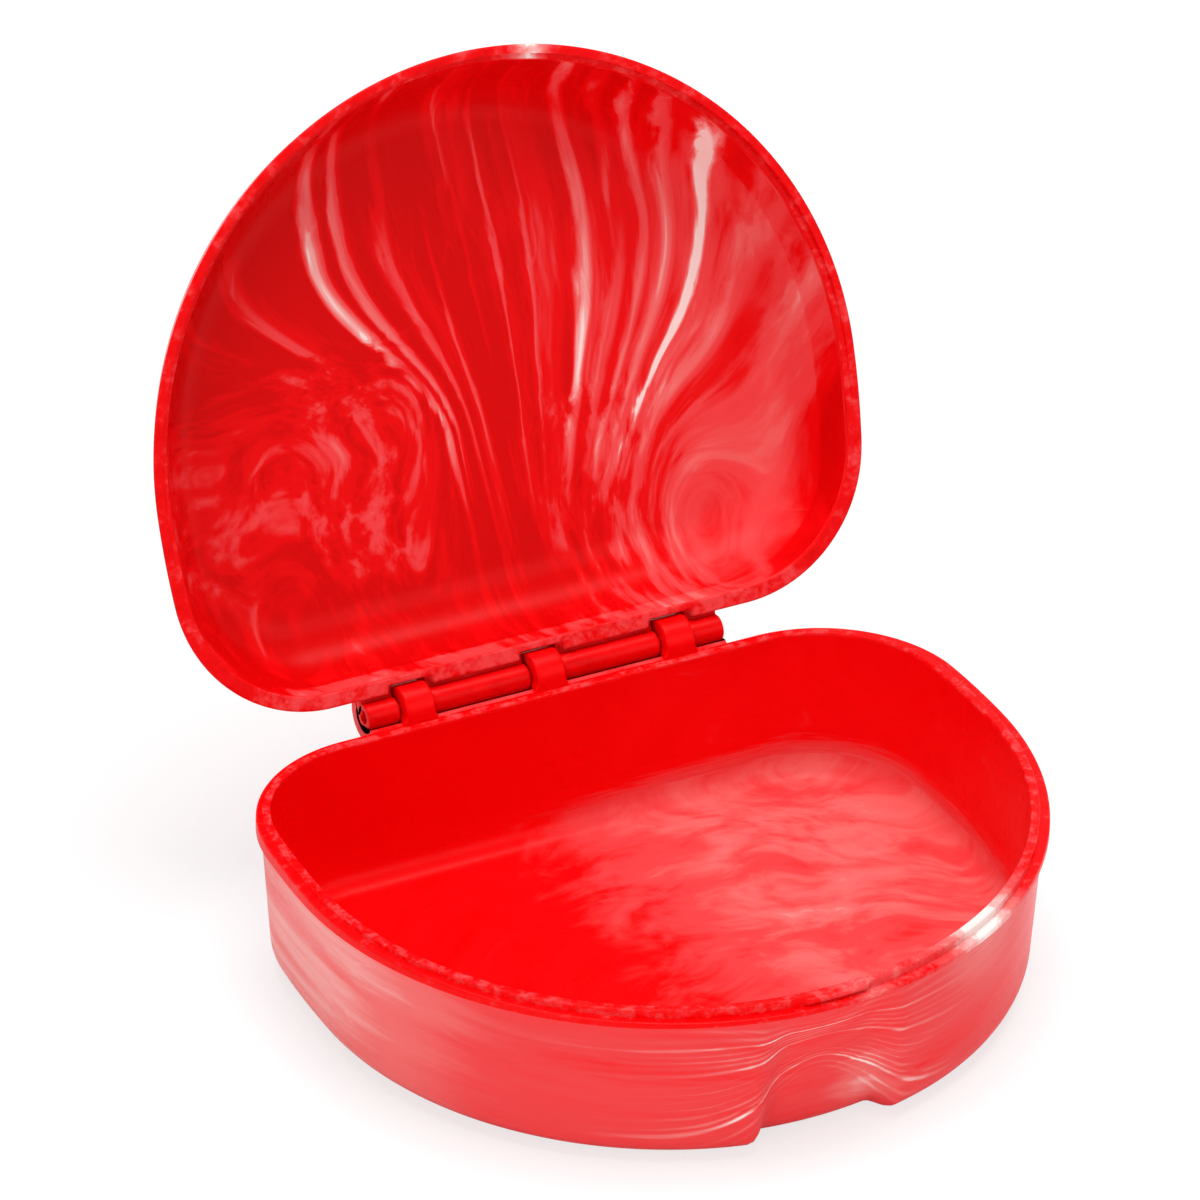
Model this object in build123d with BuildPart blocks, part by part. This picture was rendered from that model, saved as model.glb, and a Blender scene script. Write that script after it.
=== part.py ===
"""Hinged mouth guard case: a base tray, a domed lid standing open, and a hinge pin.

Millimetres. X runs along the hinge, -Y is the front, +Z is up.
The origin is the middle of the tray's flat underside.
The lid is modelled shut and then turned open about the hinge axis.
"""
import os
from math import acos, asin, cos, degrees, radians, sin

from build123d import *

# Overall form
case_width = 80.0
case_depth = 64.0
tray_height = 18.5
lid_height = 11.0
open_angle = 110.0

# Outline seen from above: a round front, nearly straight sides, rounded back corners
corner_radius = 15.7
side_turn = 5.7

# Tray walls, and their lean from the rim band down to the floor
wall = 2.0
back_wall = 1.2
inner_corner_inset = 2.7
floor_thickness = 1.7
rim_band_height = 1.6
rim_band_overhang = 0.6
side_lean = 1.6
front_lean = 0.7
floor_round = 3.6
inner_floor_round = 2.4

# Lid dome
lid_wall = 1.6
lid_skin = 1.5
lid_side_lean = 5.2
lid_back_lean = 0.5
lid_corner_lean = 3.2
lid_round = 7.6
lid_inner_round = 6.2

# Stepped rim: the tray's lip stands inside the lid's skirt
lip_thickness = 0.95
step_drop = 1.0
step_start_y = 19.0
closing_gap = 0.1
skirt_gap = 0.1

# Front catch on the lip
catch_width = 7.0
catch_reach = 0.45
catch_height = 0.45
catch_below_rim = 0.65
catch_gap = 0.15

# Thumb scoop in the front wall: a flat-floored recess that fans out towards the foot
scoop_top_width = 7.0
scoop_top_ramp = 5.0
scoop_top_depth = 1.1
scoop_foot_width = 12.4
scoop_foot_ramp = 2.0
scoop_foot_depth = 2.6

# Hinge
hinge_length = 41.0
hinge_back = 1.9
hinge_rise = 0.8
knuckle_radius = 1.4
web_underside = 0.2
trough_gap = 0.45
trough_wall = 1.0
stop_gap = 0.1
lug_radius = 2.4
lug_width = 3.2
lug_pitch = 15.0
lug_gap = 0.35
lug_foot_flare = 0.4
lug_foot_height = 1.0
notch_gap = 0.7
notch_round = 0.5
pin_radius = 0.65
pin_press = 0.02
pin_running_gap = 0.08
pin_end_inset = 0.4
pin_end_chamfer = 0.2

# Places worked out from the sizes above
half_width = case_width / 2
front_y = -case_depth / 2
back_y = case_depth / 2
lip_line = wall - lip_thickness
band_z = tray_height - rim_band_height
hinge_y = back_y + hinge_back
hinge_z = tray_height + hinge_rise
lid_bottom = tray_height + closing_gap
lid_top = tray_height + lid_height
trough_inner = knuckle_radius + trough_gap
trough_outer = trough_inner + trough_wall
hinge_axis = Axis((0, hinge_y, hinge_z), (1, 0, 0))
hinge_end = hinge_length / 2
lug_places = [-lug_pitch, 0.0, lug_pitch]
lug_bore = pin_radius - pin_press
knuckle_bore = pin_radius + pin_running_gap
lug_half = lug_width / 2
notch_half = lug_half + notch_gap
knuckle_half = lug_half + lug_gap
foot_top_z = tray_height + lug_foot_height
level_slack = 0.01

# The open lid's back wall comes to rest on the top edge of the trough
face_angle = 180 - open_angle
stop_reach = degrees(acos((hinge_back - stop_gap) / trough_outer))
trough_top_angle = radians(face_angle - stop_reach)


def case_outline(side_inset, front_inset, back_inset, corner_inset, mode=Mode.ADD):
    """Face inside the D outline, drawn in tangent arcs; each inset moves one part of it inwards."""
    front_radius = half_width - side_inset
    start_y = front_y + front_inset
    end_y = back_y - back_inset
    corner = corner_radius - corner_inset
    turn = radians(side_turn)
    side_run = end_y - start_y - front_radius - corner * (1 - sin(turn))
    with BuildLine() as outline:
        front = JernArc((0, start_y), (1, 0), front_radius, 90)
        side = JernArc(front @ 1, front % 1, side_run / sin(turn), side_turn)
        back_corner = JernArc(side @ 1, side % 1, corner, 90 - side_turn)
        Line(back_corner @ 1, (0, end_y))
        mirror(about=Plane.YZ)
    make_face(outline.edges(), mode=mode)


def even_outline(inset, mode=Mode.ADD):
    """The D outline moved inwards by the same amount all round."""
    case_outline(inset, inset, inset, inset, mode=mode)


def outer_wall_outline(share):
    """Outline of the tray wall's outer face, leaning inwards by a share of its full lean."""
    side = rim_band_overhang + side_lean * share
    end = front_lean * share
    case_outline(side, rim_band_overhang + end, end, side)


def inner_wall_outline(share):
    """Outline of the tray wall's inner face: the wall is thinner at the back and its corners."""
    side = side_lean * share
    end = front_lean * share
    case_outline(wall + side, wall + end, back_wall + end, inner_corner_inset + side)


def lid_outline(inset, share):
    """The lid wall's outline: it leans in all round but at the back, which stays upright."""
    side = inset + lid_side_lean * share
    back = inset + lid_back_lean * share
    case_outline(side, side, back, inset + lid_corner_lean * share)


def edges_at(part, height):
    """Edges that lie flat at one height."""
    return part.edges().filter_by_position(Axis.Z, height - level_slack, height + level_slack)


def rim_step(inner_inset, lift):
    """Sloping wedge outside a line on the rim: nothing at the back, full depth at the front."""
    top = tray_height + lift
    with BuildPart() as wedge:
        with BuildSketch(Plane.YZ):
            with BuildLine():
                Polyline(
                    (step_start_y, top), (front_y, top), (front_y, top - step_drop), close=True
                )
            make_face()
        extrude(amount=half_width, both=True)
        with BuildSketch(Plane.XY.offset(top - step_drop)):
            even_outline(0)
            even_outline(inner_inset, mode=Mode.SUBTRACT)
        extrude(amount=step_drop, mode=Mode.INTERSECT)
    return wedge.part


def catch_bar(width, outer_inset, inner_inset, low, high):
    """Curved bar along the rim at the middle of the front."""
    with BuildPart() as bar:
        with BuildSketch(Plane.XY.offset(low)):
            even_outline(outer_inset)
            even_outline(inner_inset, mode=Mode.SUBTRACT)
            with Locations((0, front_y)):
                Rectangle(width, half_width, mode=Mode.INTERSECT)
        extrude(amount=high - low)
    return bar.part


def scoop_outline(width, ramp, depth, wall_inset):
    """Recess across the round wall: its floor follows the wall, and its ends ramp out to it."""
    wall_radius = half_width - wall_inset
    middle = Vector(0, front_y + half_width)
    floor_angle = degrees(asin(width / 2 / wall_radius))
    mouth_angle = degrees(asin((width / 2 + ramp) / wall_radius))
    with BuildLine() as outline:
        floor = CenterArc(middle, wall_radius - depth, -90 - floor_angle, 2 * floor_angle)
        right = middle + Vector(wall_radius, 0).rotate(Axis.Z, mouth_angle - 90)
        left = middle + Vector(wall_radius, 0).rotate(Axis.Z, -mouth_angle - 90)
        outside_y = front_y - wall
        Polyline(floor @ 1, right, (right.X, outside_y), (left.X, outside_y), left, floor @ 0)
    make_face(outline.edges())


def scoop_form(skin):
    """Tapered form that scoops the front wall, grown inwards and sideways by a skin."""
    with BuildPart() as form:
        with BuildSketch(Plane.XY):
            scoop_outline(
                scoop_foot_width + skin,
                scoop_foot_ramp + skin / 2,
                scoop_foot_depth + skin,
                rim_band_overhang + front_lean,
            )
        with BuildSketch(Plane.XY.offset(band_z)):
            scoop_outline(
                scoop_top_width + skin,
                scoop_top_ramp + skin / 2,
                scoop_top_depth + skin,
                rim_band_overhang,
            )
        loft(ruled=True)
    return form.part


def hinge_bar(start_x, end_x, radius):
    """Round bar about the hinge axis."""
    with BuildPart() as bar:
        with BuildSketch(Plane.YZ.offset(start_x)):
            with Locations((hinge_y, hinge_z)):
                Circle(radius)
        extrude(amount=end_x - start_x)
    return bar.part


tray_step = rim_step(lip_line, 0)
skirt_step = rim_step(lip_line - skirt_gap, closing_gap)
catch_low = tray_height - catch_below_rim
catch_high = catch_low + catch_height
catch_bead = catch_bar(
    catch_width, lip_line - catch_reach, lip_line + lip_thickness / 2, catch_low, catch_high
)
catch_recess = catch_bar(
    catch_width + 2 * catch_gap,
    lip_line - catch_reach - catch_gap,
    lip_line,
    tray_height - step_drop,
    catch_high + catch_gap,
)
thumb_scoop = scoop_form(0)
scoop_back = scoop_form(wall - rim_band_overhang)
lug_bores = hinge_bar(-hinge_end, hinge_end, lug_bore)
knuckle_bores = hinge_bar(-hinge_end, hinge_end, knuckle_bore)
knuckle_room = hinge_bar(-hinge_end - lug_gap, hinge_end + lug_gap, trough_inner)


# Hinge trough: a gutter behind the tray's back wall that the lid's knuckles turn in
with BuildPart() as trough:
    with BuildSketch(Plane.YZ.offset(-hinge_end)):
        root_y = back_y - back_wall / 2
        with Locations((hinge_y, hinge_z)):
            Circle(trough_outer)
        with Locations((root_y, hinge_z - trough_outer)):
            Rectangle(hinge_y - root_y, trough_outer, align=(Align.MIN, Align.MIN))
        far = case_depth
        with BuildLine():
            Polyline(
                (hinge_y, hinge_z),
                (hinge_y + far * cos(trough_top_angle), hinge_z + far * sin(trough_top_angle)),
                (hinge_y + far, hinge_z + far),
                (hinge_y - far, hinge_z + far),
                (hinge_y - far, tray_height),
                (hinge_y, tray_height),
                close=True,
            )
        make_face(mode=Mode.SUBTRACT)
        with Locations((hinge_y, hinge_z)):
            Circle(trough_inner, mode=Mode.SUBTRACT)
    extrude(amount=hinge_length)


# Space inside the tray
with BuildPart() as tray_hollow:
    with BuildSketch(Plane.XY.offset(floor_thickness)):
        inner_wall_outline(1)
    with BuildSketch(Plane.XY.offset(tray_height)):
        inner_wall_outline(0)
    loft(ruled=True)
    fillet(edges_at(tray_hollow, floor_thickness), inner_floor_round)
    add(scoop_back, mode=Mode.SUBTRACT)


# Base tray
with BuildPart() as base_tray:
    with BuildSketch(Plane.XY):
        outer_wall_outline(1)
    with BuildSketch(Plane.XY.offset(band_z)):
        outer_wall_outline(0)
    loft(ruled=True)
    fillet(edges_at(base_tray, 0), floor_round)

    add(thumb_scoop, mode=Mode.SUBTRACT)
    with BuildSketch(Plane.XY.offset(band_z)):
        even_outline(0)
    extrude(amount=rim_band_height)
    add(tray_step, mode=Mode.SUBTRACT)

    add(tray_hollow.part, mode=Mode.SUBTRACT)
    add(knuckle_room, mode=Mode.SUBTRACT)
    add(trough.part)
    add(catch_bead)
    for place in lug_places:
        with BuildSketch(Plane.YZ.offset(place - lug_half)):
            with Locations((hinge_y, hinge_z)):
                Circle(lug_radius)
                Rectangle(2 * lug_radius, lug_radius, align=(Align.CENTER, Align.MAX))
        extrude(amount=lug_width)
        with BuildSketch(Plane.XZ.offset(-back_y)):
            with BuildLine():
                left, right = place - lug_half, place + lug_half
                Polyline(
                    (left, foot_top_z),
                    (left - lug_foot_flare, tray_height),
                    (right + lug_foot_flare, tray_height),
                    (right, foot_top_z),
                    close=True,
                )
            make_face()
        extrude(amount=back_wall / 2)
    add(lug_bores, mode=Mode.SUBTRACT)


# Space inside the lid
with BuildPart() as lid_hollow:
    with BuildSketch(Plane.XY.offset(lid_bottom)):
        lid_outline(lid_wall, 0)
    with BuildSketch(Plane.XY.offset(lid_top - lid_skin)):
        lid_outline(lid_wall, 1 - lid_skin / lid_height)
    loft(ruled=True)
    fillet(edges_at(lid_hollow, lid_top - lid_skin), lid_inner_round)


# Lid, modelled shut
with BuildPart() as lid:
    with BuildSketch(Plane.XY.offset(lid_bottom)):
        lid_outline(0, 0)
    with BuildSketch(Plane.XY.offset(lid_top)):
        lid_outline(0, 1)
    loft(ruled=True)
    fillet(edges_at(lid, lid_top), lid_round)

    add(lid_hollow.part, mode=Mode.SUBTRACT)
    add(skirt_step)
    add(catch_recess, mode=Mode.SUBTRACT)

    for place in lug_places:
        with BuildSketch(Plane.YZ.offset(place - notch_half)):
            with Locations((hinge_y, hinge_z)):
                Circle(lug_radius + lug_gap)
        extrude(amount=2 * notch_half, mode=Mode.SUBTRACT)
    notch_corners = edges_at(lid, lid_bottom).filter_by(Axis.Y).sort_by(Axis.X)
    fillet(notch_corners, notch_round)

    knuckle_starts = [-hinge_end] + [place + knuckle_half for place in lug_places]
    knuckle_ends = [place - knuckle_half for place in lug_places] + [hinge_end]
    for start_x, end_x in zip(knuckle_starts, knuckle_ends):
        with BuildSketch(Plane.YZ.offset(start_x)):
            with Locations((hinge_y, hinge_z)):
                Circle(knuckle_radius)
            with Locations((hinge_y, hinge_z + web_underside)):
                Rectangle(
                    hinge_back + lid_wall / 2,
                    knuckle_radius - web_underside,
                    align=(Align.MAX, Align.MIN),
                )
        extrude(amount=end_x - start_x)
    add(knuckle_bores, mode=Mode.SUBTRACT)


# Hinge pin
with BuildPart() as hinge_pin:
    add(hinge_bar(-hinge_end + pin_end_inset, hinge_end - pin_end_inset, pin_radius))
    chamfer(hinge_pin.edges().filter_by(GeomType.CIRCLE), pin_end_chamfer)


# The lid turned open about the hinge
open_lid = lid.part.rotate(hinge_axis, -open_angle)

base_tray.part.label = "base_tray"
open_lid.label = "lid"
hinge_pin.part.label = "hinge_pin"

os.makedirs("parts", exist_ok=True)
export_step(base_tray.part, "parts/base_tray.step")
export_step(open_lid, "parts/lid.step")
export_step(hinge_pin.part, "parts/hinge_pin.step")
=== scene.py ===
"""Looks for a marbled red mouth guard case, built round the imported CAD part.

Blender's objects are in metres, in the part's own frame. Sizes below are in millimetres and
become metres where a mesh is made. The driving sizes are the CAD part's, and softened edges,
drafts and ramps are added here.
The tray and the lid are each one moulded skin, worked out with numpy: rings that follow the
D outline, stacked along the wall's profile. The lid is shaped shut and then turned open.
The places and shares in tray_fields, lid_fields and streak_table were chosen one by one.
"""
from math import cos, pi, radians, sin

import bpy
import numpy as np
from mathutils import Matrix, Vector


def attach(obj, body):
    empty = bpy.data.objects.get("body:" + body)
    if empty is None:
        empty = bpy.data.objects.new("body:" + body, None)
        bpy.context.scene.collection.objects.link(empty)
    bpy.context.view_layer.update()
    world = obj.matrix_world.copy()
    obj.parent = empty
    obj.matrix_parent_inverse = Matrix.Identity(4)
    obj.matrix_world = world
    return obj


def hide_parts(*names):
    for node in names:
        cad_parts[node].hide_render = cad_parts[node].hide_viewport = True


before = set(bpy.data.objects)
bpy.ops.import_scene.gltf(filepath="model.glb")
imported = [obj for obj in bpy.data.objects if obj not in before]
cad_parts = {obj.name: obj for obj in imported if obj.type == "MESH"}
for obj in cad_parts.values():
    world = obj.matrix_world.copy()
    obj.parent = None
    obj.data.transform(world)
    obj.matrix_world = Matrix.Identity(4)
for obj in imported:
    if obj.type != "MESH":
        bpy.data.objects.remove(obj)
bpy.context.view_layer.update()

scene = bpy.context.scene
mm = 0.001

# Outline seen from above
half_width = 40.0
front_y = -32.0
back_y = 32.0
corner_radius = 15.7
side_turn = radians(5.7)

# Tray
tray_height = 18.5
wall = 2.0
back_wall = 1.2
inner_corner_inset = 2.7
floor_thickness = 1.7
band_z = 16.9
band_overhang = 0.6
side_lean = 1.6
front_lean = 0.7
floor_round = 3.6
inner_floor_round = 2.4

# Tray's rim: insets of the lip's outer face, the step beside it, and the softened edges
lip_line = 1.05
lip_back_line = 0.5
lip_corner_line = 1.5
lip_draft = 0.05
lip_rounded = 0.18
lip_edge = 0.14
step_drop = 1.0
step_start_y = 19.0
band_edge = 0.12
mouth_edge = 0.1
mouth_drop = 0.2

# Thumb scoop: half width, the ramp beside it and depth, at the band and at the foot
scoop_top_half = 3.5
scoop_top_ramp = 5.0
scoop_top_depth = 1.1
scoop_foot_half = 6.2
scoop_foot_ramp = 2.0
scoop_foot_depth = 2.6

# How the scoop sets in: down from the band, forward from a y, and out from the front's centre
scoop_outside_ramp = 0.35
scoop_inside_ramp = 1.5
scoop_start_y = -12.0
scoop_start_ramp = 14.0
scoop_under_start = 25.0
scoop_under_ramp = 10.0
scoop_floor_start = 27.0
scoop_floor_ramp = 8.0

# Front catch: the bead on the lip, and the groove for it in the lid's skirt
catch_half = 3.5
catch_ramp = 0.6
catch_reach = 0.45
catch_z = 18.07
catch_half_height = 0.22
catch_fullness = 1.6
groove_half = 3.75
groove_ramp = 0.4
groove_depth = 0.5
groove_half_height = 0.34

# Lid, in its shut place
lid_bottom = 18.6
lid_top = 29.5
lid_wall = 1.6
lid_skin = 1.5
lid_side_lean = 5.2
lid_back_lean = 0.5
lid_corner_lean = 3.2
lid_round = 7.6
lid_inner_round = 6.2
lid_edge = 0.12
skirt_line = 0.95
skirt_draft = 0.05
open_angle = radians(110)

# Hinge
hinge_y = 33.9
hinge_z = 19.3
hinge_end = 20.5
knuckle_radius = 1.4
knuckle_bore = 0.73
knuckle_bevel = 0.18
web_underside = 0.2
gutter_inner = 1.85
gutter_outer = 2.85
lug_radius = 2.4
lug_half = 1.6
lug_gap = 0.35
lug_places = (-15.0, 0.0, 15.0)
foot_flare = 0.4
flare_height = 1.1
flare_depth = 0.4
notch_half = 2.3
notch_ramp = 0.7
notch_depth = 2.7
notch_reach = 1.0
soft_edge = 0.22

# Gaps between the last ring of a softened edge or a round and the first of the next stretch
ring_gap = 0.03
edge_gap = 0.1
wall_gap = 0.3
lid_wall_gap = 0.4
mouth_gap = 0.5

# Rings in each stretch of a profile, and edges beyond which a fold is drawn sharp
edge_rings = 5
under_rings = 14
top_rings = 20
tray_wall_rings = 30
lid_wall_rings = 14
floor_round_rings = 12
dome_rings = 30
middle_rings = 42
bar_sides = 48
shell_fold = radians(50)
small_fold = radians(40)


def ease(x):
    """Smooth step: 0 below 0, 1 above 1, and 3x^2 - 2x^3 between."""
    x = np.clip(x, 0, 1)
    return x * x * (3 - 2 * x)


def hump(x, middle, width):
    """Bell curve: e^(-((x - middle) / width)^2)."""
    return np.exp(-((x - middle) / width) ** 2)


def shares(count, start=0.0):
    """Evenly spaced shares from the start towards 1, without 1 itself."""
    return np.linspace(start, 1, count + 1)[:-1]


def quarter_turn(count):
    """Evenly spaced angles from 0 to 90 degrees."""
    return np.linspace(0, pi / 2, count)


# Shares along each stretch of half the outline, from the middle of the front to the back
front_steps = shares(96)
side_steps = shares(16)
corner_steps = shares(40)
back_steps = np.linspace(0, 1, 121)


def d_outline(side, front, back, corner):
    """Rings of the D outline, one for each row of insets.

    Half a ring is a quarter circle of radius (half width - side inset), a slight arc that turns
    through side_turn, the corner's arc, and the straight back. The other half mirrors it.
    """
    side, front, back, corner = (np.asarray(v, float).reshape(-1, 1) for v in (side, front, back, corner))
    radius = half_width - side
    start = front_y + front
    end = back_y - back
    bend = corner_radius - corner
    run = end - start - radius - bend * (1 - sin(side_turn))
    side_radius = run / sin(side_turn)
    a = (front_steps - 1) * pi / 2
    b = side_steps * side_turn
    c = side_turn + corner_steps * (pi / 2 - side_turn)
    corner_x = radius - side_radius + (side_radius - bend) * cos(side_turn)
    x = np.hstack([
        radius * np.cos(a),
        radius - side_radius + side_radius * np.cos(b),
        corner_x + bend * np.cos(c),
        corner_x * (1 - back_steps),
    ])
    y = np.hstack([
        start + radius + radius * np.sin(a),
        start + radius + side_radius * np.sin(b),
        end - bend + bend * np.sin(c),
        end + 0 * back_steps,
    ])
    x = np.hstack([x, -x[:, -2:0:-1]])
    y = np.hstack([y, y[:, -2:0:-1]])
    return x, y


def step_depth(y):
    """Depth of the stepped rim: nothing at the sides' back, full at the front, even slope between."""
    return step_drop * np.clip((step_start_y - y) / (step_start_y - front_y), 0, 1)


def step_along(insets):
    """Depth of the stepped rim along rings with these insets."""
    return step_depth(d_outline(*insets)[1])


def catch_bulge(x, y, z, depth, half, ramp, half_height):
    """How deep the catch's bead or its groove is: full over the middle, and eased out all round."""
    along = depth * ease((half + ramp / 2 - np.abs(x)) / ramp) * (y < 0)
    return along * ease(catch_fullness - np.abs(z - catch_z) / half_height)


class Skin:
    """Rings gathered from the middle of the outside, over the rim, to the middle of the inside.

    Each ring belongs to a part of the profile: 0 underside or top with its round, 1 outer wall,
    2 band or skirt's edge with the ledge, 3 lip or rim face, 4 inner wall, 5 floor or ceiling
    with its round.
    """

    def __init__(self):
        self.x, self.y, self.z, self.part = [], [], [], []

    def add(self, insets, z, part, scale=1.0):
        """Adds rings at these insets and heights, drawn in towards the middle by a scale."""
        x, y = d_outline(*insets)
        scale = np.asarray(scale, float).reshape(-1, 1)
        middle_y = (front_y + back_y) / 2
        x = x * scale
        y = middle_y + (y - middle_y) * scale
        if np.ndim(z) < 2:
            z = np.asarray(z, float).reshape(-1, 1)
        self.x.append(x)
        self.y.append(y)
        self.z.append(np.broadcast_to(z, x.shape))
        self.part.append(np.full(x.shape, part))

    def grids(self):
        """Grids of x, y, z and part, with a row for each ring."""
        return tuple(np.vstack(g) for g in (self.x, self.y, self.z, self.part))


def plain_mesh(name, points, faces, smooth_angle=None):
    """Mesh object from arrays of points in millimetres and of faces."""
    mesh = bpy.data.meshes.new(name)
    mesh.from_pydata(points * mm, [], faces)
    mesh.validate()
    mesh.update()
    mesh.shade_smooth()
    if smooth_angle is not None:
        mesh.set_sharp_from_angle(angle=smooth_angle)
    piece = bpy.data.objects.new(name, mesh)
    scene.collection.objects.link(piece)
    return piece


def on_points(grid):
    """A grid's values at its mesh's points: the first and the last ring each meet in one pole."""
    between = grid[1:-1].reshape(-1, *grid.shape[2:])
    return np.concatenate([grid[0, :1], between, grid[-1, :1]])


def set_fields(piece, fields):
    """Stores arrays as point attributes: vectors where a point has three numbers, else values."""
    for name, values in fields.items():
        kind, key = ("FLOAT_VECTOR", "vector") if values.ndim == 2 else ("FLOAT", "value")
        field = piece.data.attributes.new(name, kind, "POINT")
        field.data.foreach_set(key, np.ascontiguousarray(values, np.float32).ravel())


def ring_faces(rings, columns):
    """Quads between rings that close on themselves, and triangles at the first and last pole."""
    row = np.arange(1, rings - 2)[:, None] * columns
    column = np.arange(columns)[None, :]
    beside = (column + 1) % columns
    offset = 1 - columns
    quads = np.stack([row + column, row + beside, row + columns + beside, row + columns + column], -1)
    quads = (quads + offset).reshape(-1, 4)
    first = np.stack([0 * column[0], 1 + beside[0], 1 + column[0]], -1)
    last_row = 1 + (rings - 3) * columns
    pole = last_row + columns
    last = np.stack([pole + 0 * column[0], last_row + column[0], last_row + beside[0]], -1)
    return quads.tolist() + first.tolist() + last.tolist()


def turn_open(points):
    """Turns points about the hinge axis from the lid's shut place to its open one."""
    y = points[:, 1] - hinge_y
    z = points[:, 2] - hinge_z
    c, s = cos(-open_angle), sin(-open_angle)
    return np.stack([points[:, 0], hinge_y + c * y - s * z, hinge_z + s * y + c * z], -1)


def moulded_skin(name, grids, fields, turned=False):
    """Closed mesh of one moulded skin, with its marbling fields stored on its points.

    A turned skin is listed the other way round from the tray, so its faces are reversed.
    """
    points = np.stack([on_points(grid) for grid in grids], -1)
    faces = ring_faces(*grids[0].shape)
    if turned:
        points = turn_open(points)
        faces = [face[::-1] for face in faces]
    piece = plain_mesh(name, points, faces, shell_fold)
    set_fields(piece, {key: on_points(values) for key, values in fields.items()})
    return piece


def tray_skin():
    """The tray, from the middle of its underside up the leaning wall, over the lip and in to the floor.

    The wall's inset is the band's overhang plus the lean times the share of height that is missing.
    Floor rounds are quarter circles in inset and height. The thumb scoop moves the outer wall
    inwards by a depth that is full between two edges and eases out over a ramp at each side, and
    the inner wall and the floor follow it.
    """
    skin = Skin()

    def outer(z, extra=0.0):
        """Insets of the outer wall at a height, with an extra inset all round."""
        share = 1 - z / band_z
        side = band_overhang + side_lean * share + extra
        front = band_overhang + front_lean * share + extra
        back = front_lean * share + extra
        corner = side_lean * share + extra
        return side, front, back, corner

    def inner(z, extra=0.0):
        """Insets of the inner wall at a height, with an extra inset all round."""
        share = (tray_height - z) / (tray_height - floor_thickness)
        side = wall + side_lean * share + extra
        front = wall + front_lean * share + extra
        back = back_wall + front_lean * share + extra
        corner = inner_corner_inset + side_lean * share + extra
        return side, front, back, corner

    under = shares(under_rings)
    skin.add(outer(0 * under, floor_round), 0 * under, 0, under)
    turn = quarter_turn(floor_round_rings)
    z = floor_round * (1 - np.cos(turn))
    skin.add(outer(z, floor_round * (1 - np.sin(turn))), z, 0)
    z = np.linspace(floor_round + wall_gap, band_z - band_edge, tray_wall_rings)
    skin.add(outer(z), z, 1)

    # Under the rim band, then the band up to the step's ledge
    edge = np.linspace(0, 1, edge_rings)
    out = band_overhang * (1 - edge)
    skin.add((out, out, 0 * out, 0 * out), band_z - band_edge + 2 * band_edge * edge, 2)
    share = shares(4, 0.1)
    insets = [0 * share] * 4
    low = band_z + band_edge
    ledge = tray_height - step_along(insets) - soft_edge
    skin.add(insets, low + (ledge - low) * share[:, None], 2)
    turn = quarter_turn(edge_rings)
    insets = [soft_edge * (1 - np.cos(turn))] * 4
    drop = soft_edge * (1 - np.sin(turn))
    skin.add(insets, tray_height - step_along(insets) - drop[:, None], 2)

    # The ledge, and the lip's outer face: at the back, where there is no step, the two are level
    lip = (lip_line, lip_line, lip_back_line, lip_corner_line)
    across = np.linspace(0.35, 0.94, 4)
    insets = [soft_edge + (line - soft_edge) * across for line in lip]
    skin.add(insets, tray_height - step_along(insets), 2)
    rise = np.linspace(0.02, 1 - lip_rounded, 12)
    insets = [line * (1 - lip_draft + lip_draft * rise) for line in lip]
    x, y = d_outline(*insets)
    height = tray_height - step_depth(y) * (1 - rise[:, None])
    bead = catch_bulge(x, y, height, catch_reach, catch_half, catch_ramp, catch_half_height)
    skin.add(insets, height, 3)
    skin.y[-1] = skin.y[-1] - bead

    # The lip's top, in to the mouth
    turn = quarter_turn(edge_rings)[1:]
    insets = [line + lip_edge * (1 - np.cos(turn)) for line in lip]
    drop = lip_rounded * step_along(insets) * (1 - np.sin(turn))[:, None]
    skin.add(insets, tray_height - drop, 3)
    across = np.linspace(0.2, 0.8, 3)
    mouth = inner(tray_height)
    insets = [a + lip_edge + (b - a - lip_edge) * across for a, b in zip(lip, mouth)]
    skin.add(insets, tray_height + 0 * across, 3)
    z = tray_height - mouth_drop * (1 - np.cos(turn))
    skin.add(inner(z, -mouth_edge * (1 - np.sin(turn))), z, 3)

    # Inside wall, floor round and floor
    wall_foot = floor_thickness + inner_floor_round + wall_gap
    z = np.linspace(tray_height - mouth_gap, wall_foot, tray_wall_rings)
    skin.add(inner(z), z, 4)
    turn = np.linspace(pi / 2, 0, floor_round_rings)
    z = floor_thickness + inner_floor_round * (1 - np.cos(turn))
    skin.add(inner(z, inner_floor_round * (1 - np.sin(turn))), z, 5)
    inwards = np.linspace(1, 0, middle_rings)[1:]
    z = floor_thickness + 0 * inwards
    skin.add(inner(z, inner_floor_round), z, 5, inwards)

    # The scoop, outside and then inside
    x, y, z, part = skin.grids()
    down = np.clip(1 - z / band_z, 0, 1)
    half = scoop_top_half + (scoop_foot_half - scoop_top_half) * down
    ramp = scoop_top_ramp + (scoop_foot_ramp - scoop_top_ramp) * down
    depth = scoop_top_depth + (scoop_foot_depth - scoop_top_depth) * down
    dent = depth * ease((half + ramp - np.abs(x)) / ramp) * (y < 0)
    dent = dent * ease((scoop_start_y - y) / scoop_start_ramp)
    from_centre = np.hypot(x, y - (front_y + half_width))
    under_reach = np.where(part == 0, ease((from_centre - scoop_under_start) / scoop_under_ramp), 1.0)
    floor_reach = np.where(part == 5, ease((from_centre - scoop_floor_start) / scoop_floor_ramp), 1.0)
    outside_dent = dent * under_reach * ease((band_z - z) / scoop_outside_ramp)
    inside_dent = dent * ease((band_z - z) / scoop_inside_ramp)
    y = y + np.where(part <= 1, outside_dent, 0)
    y = y + np.where(part >= 4, inside_dent, 0) * floor_reach
    return x, y, z, part


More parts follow.
